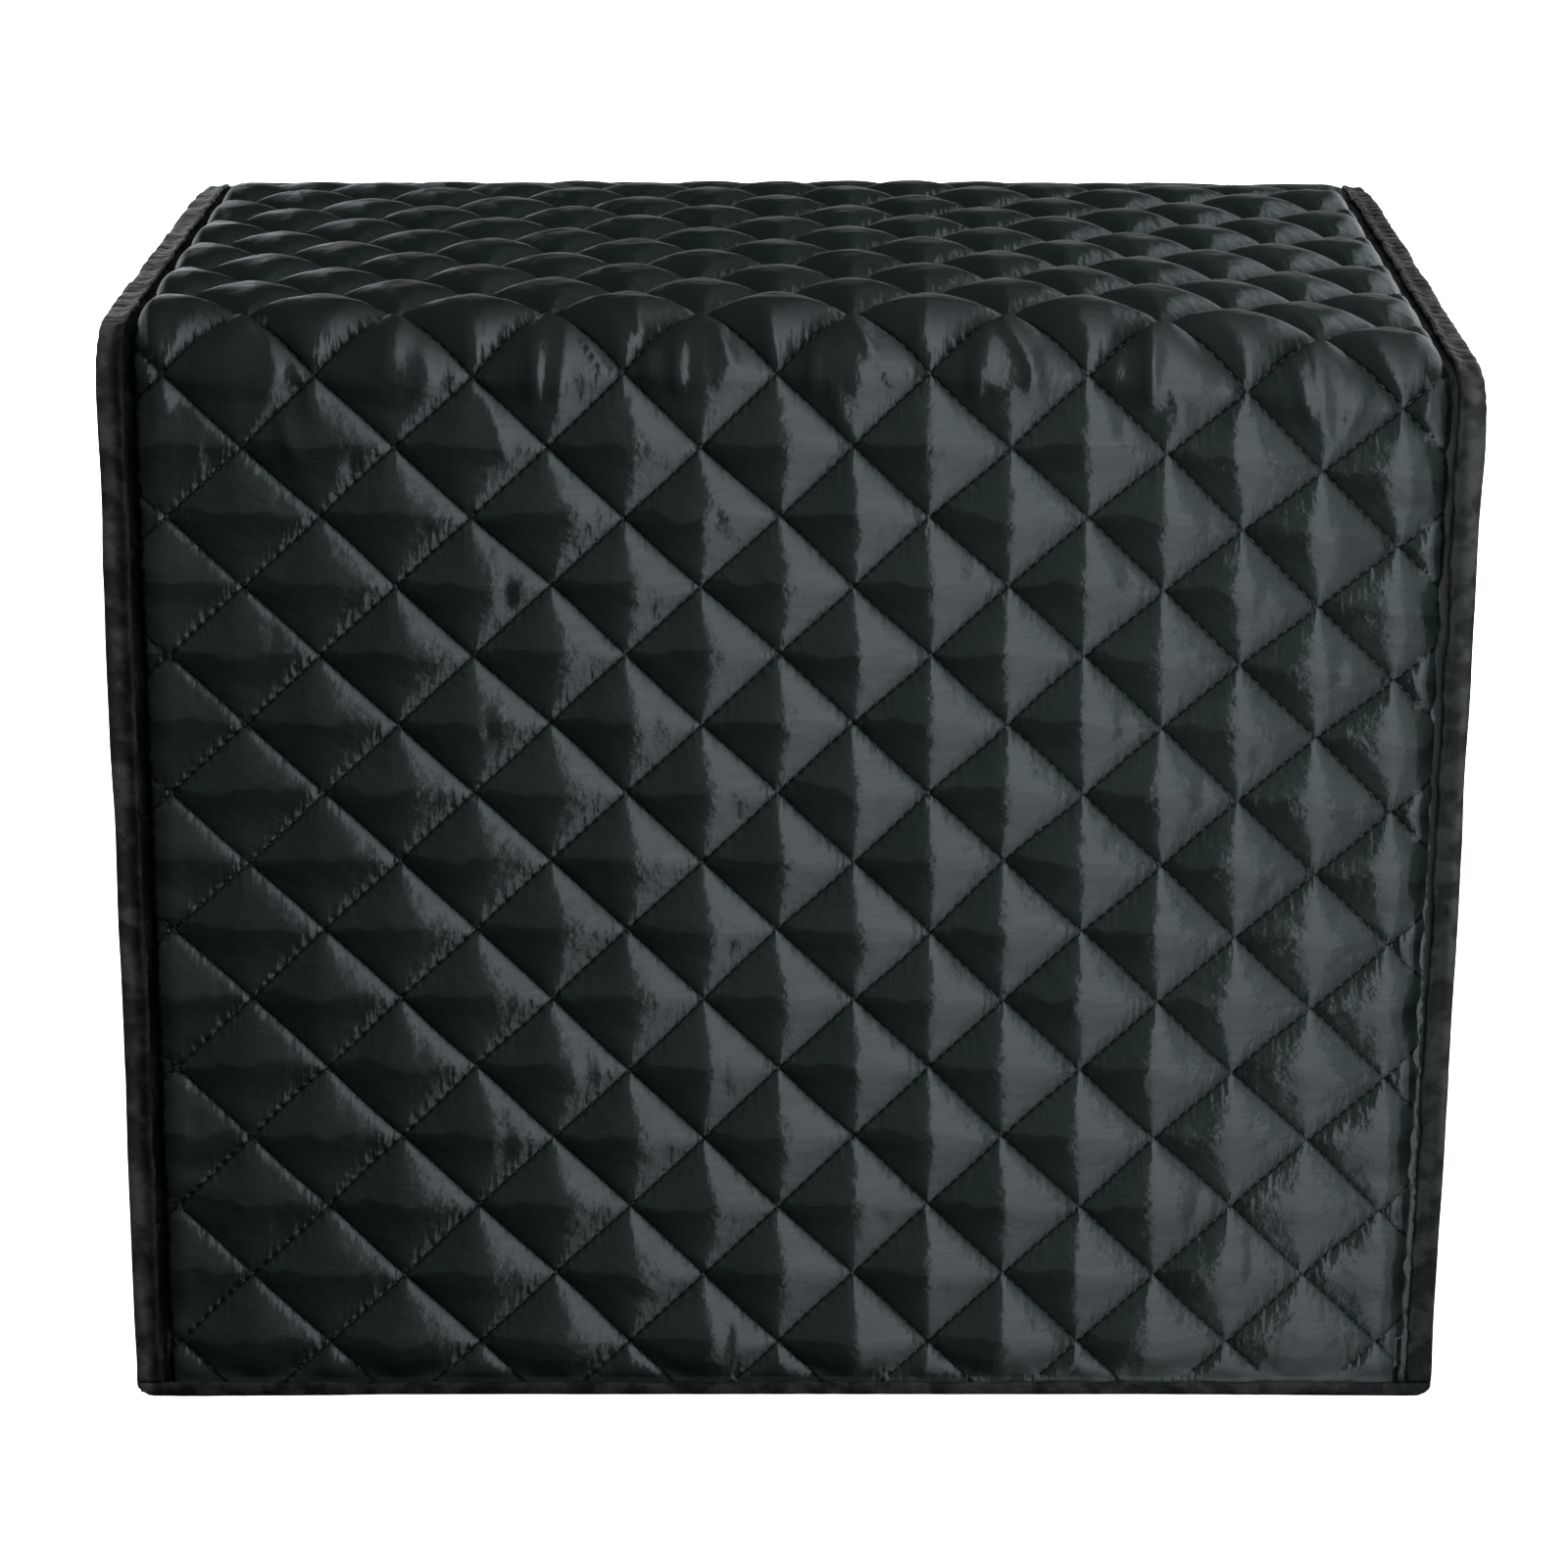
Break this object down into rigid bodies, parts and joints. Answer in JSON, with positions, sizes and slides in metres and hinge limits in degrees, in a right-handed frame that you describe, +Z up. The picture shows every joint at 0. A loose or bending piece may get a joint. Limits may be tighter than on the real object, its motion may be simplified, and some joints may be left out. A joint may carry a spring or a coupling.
{
  "type": "bread maker cover",
  "caption": "Fitted dust cover for a bread maker: box shape in diamond-quilted black satin, open at the bottom, with bound seams and a bound hem.",
  "frame": {"origin": "middle of the whole width and depth, on the surface that the hem reaches", "axes": "+X to the right seen from the front, +Y from the front to the back, +Z up from the hem to the top; the front faces -Y"},
  "size_m": [0.3742, 0.277, 0.3167],
  "materials": {
    "quilted_satin": "near-black padded satin with a soft sheen, stitched in diamonds",
    "binding_tape": "folded black satin tape, creased across its length"
  },
  "bodies": {
    "root": {"main_panel": "quilted_satin", "side_panel_left": "quilted_satin", "side_panel_right": "quilted_satin", "seam_binding_left": "binding_tape", "seam_binding_right": "binding_tape", "hem_binding": "binding_tape"}
  },
  "joints": []
}
